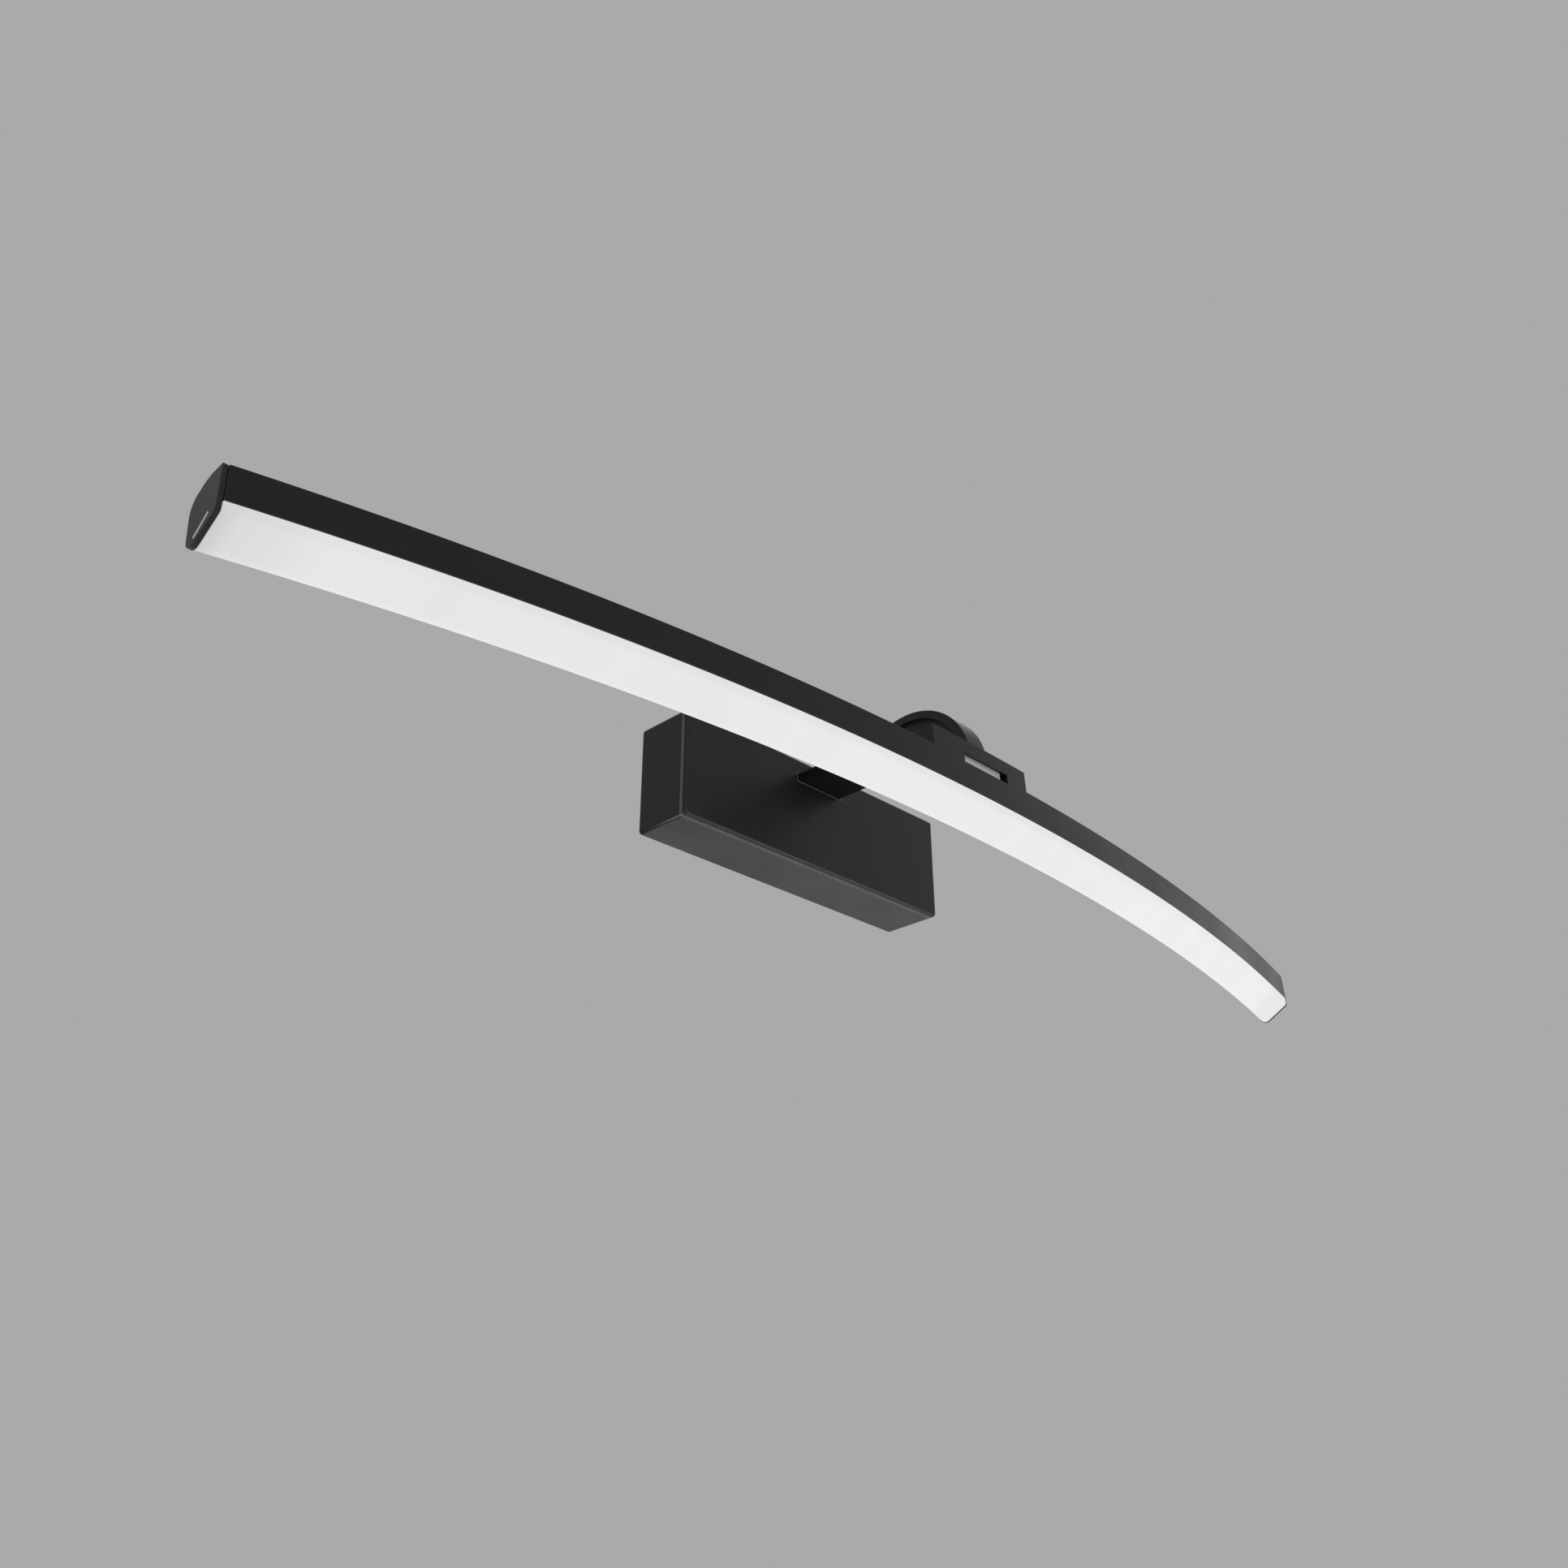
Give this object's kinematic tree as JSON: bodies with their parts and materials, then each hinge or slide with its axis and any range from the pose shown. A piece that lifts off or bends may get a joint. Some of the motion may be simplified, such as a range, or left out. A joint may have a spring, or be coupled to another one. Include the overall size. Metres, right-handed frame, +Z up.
{
  "type": "wall picture light",
  "caption": "Wall-mounted picture light with a gently curved opal light bar that tilts on a short flat arm from a rectangular base box.",
  "frame": {"origin": "middle of the wall plate's back face, on the wall", "axes": "+X along the wall to the light's right as seen from the room, +Y into the wall, +Z up; the light stands out towards -Y"},
  "size_m": [0.545, 0.1066, 0.0539],
  "materials": {
    "arm": "satin black powder coat",
    "arm_bracket": "zinc plated",
    "arm_screw_left": "zinc plated",
    "arm_screw_right": "zinc plated",
    "base_cover": "satin black powder coat",
    "bracket_plate_screw_left": "zinc plated",
    "bracket_plate_screw_right": "zinc plated",
    "bracket_screw_left": "blackened",
    "bracket_screw_right": "blackened",
    "cable_grommet": "matte",
    "cover_screw_left": "blackened",
    "cover_screw_right": "blackened",
    "diffuser": "opal acrylic, satin, lit from inside",
    "driver_screw": "zinc plated",
    "driver_strap": "zinc plated",
    "earth_screw": "bright",
    "end_cap_left": "satin black moulded",
    "end_cap_right": "satin black moulded",
    "fascia": "satin black powder coat",
    "friction_washer_left": "nylon",
    "friction_washer_right": "nylon",
    "head_bracket": "satin black powder coat",
    "lead_line": "brown insulation",
    "lead_negative": "black insulation",
    "lead_neutral": "blue insulation",
    "lead_positive": "red insulation",
    "led_carrier": "mill finish",
    "led_driver": "white moulded",
    "led_strip": "white circuit board with LED chips",
    "slot_bar": "bright satin nickel",
    "terminal_block": "white moulded",
    "terminal_screw_left": "bright",
    "terminal_screw_right": "bright",
    "tilt_bolt": "blackened",
    "tilt_nut": "blackened",
    "wall_plate": "zinc plated",
    "yoke": "satin black powder coat",
    "yoke_screw_left": "blackened",
    "yoke_screw_right": "blackened"
  },
  "bodies": {
    "base": {"arm": "arm", "arm_bracket": "arm_bracket", "arm_screw_left": "arm_screw_left", "arm_screw_right": "arm_screw_right", "base_cover": "base_cover", "bracket_plate_screw_left": "bracket_plate_screw_left", "bracket_plate_screw_right": "bracket_plate_screw_right", "cable_grommet": "cable_grommet", "cover_screw_left": "cover_screw_left", "cover_screw_right": "cover_screw_right", "driver_screw": "driver_screw", "driver_strap": "driver_strap", "earth_screw": "earth_screw", "friction_washer_left": "friction_washer_left", "friction_washer_right": "friction_washer_right", "lead_line": "lead_line", "lead_negative": "lead_negative", "lead_neutral": "lead_neutral", "lead_positive": "lead_positive", "led_driver": "led_driver", "terminal_block": "terminal_block", "terminal_screw_left": "terminal_screw_left", "terminal_screw_right": "terminal_screw_right", "tilt_bolt": "tilt_bolt", "tilt_nut": "tilt_nut", "wall_plate": "wall_plate", "yoke": "yoke", "yoke_screw_left": "yoke_screw_left", "yoke_screw_right": "yoke_screw_right"},
    "head": {"fascia": "fascia", "diffuser": "diffuser", "end_cap_left": "end_cap_left", "end_cap_right": "end_cap_right", "led_carrier": "led_carrier", "led_strip": "led_strip", "head_bracket": "head_bracket", "bracket_screw_left": "bracket_screw_left", "bracket_screw_right": "bracket_screw_right", "slot_bar": "slot_bar"}
  },
  "joints": [
    {"name": "head_tilt", "type": "hinge", "parent": "base", "child": "head", "pos_m": [0, -0.0758, -0.0045], "axis": [1, 0, 0], "range_deg": [-80, 100]}
  ]
}
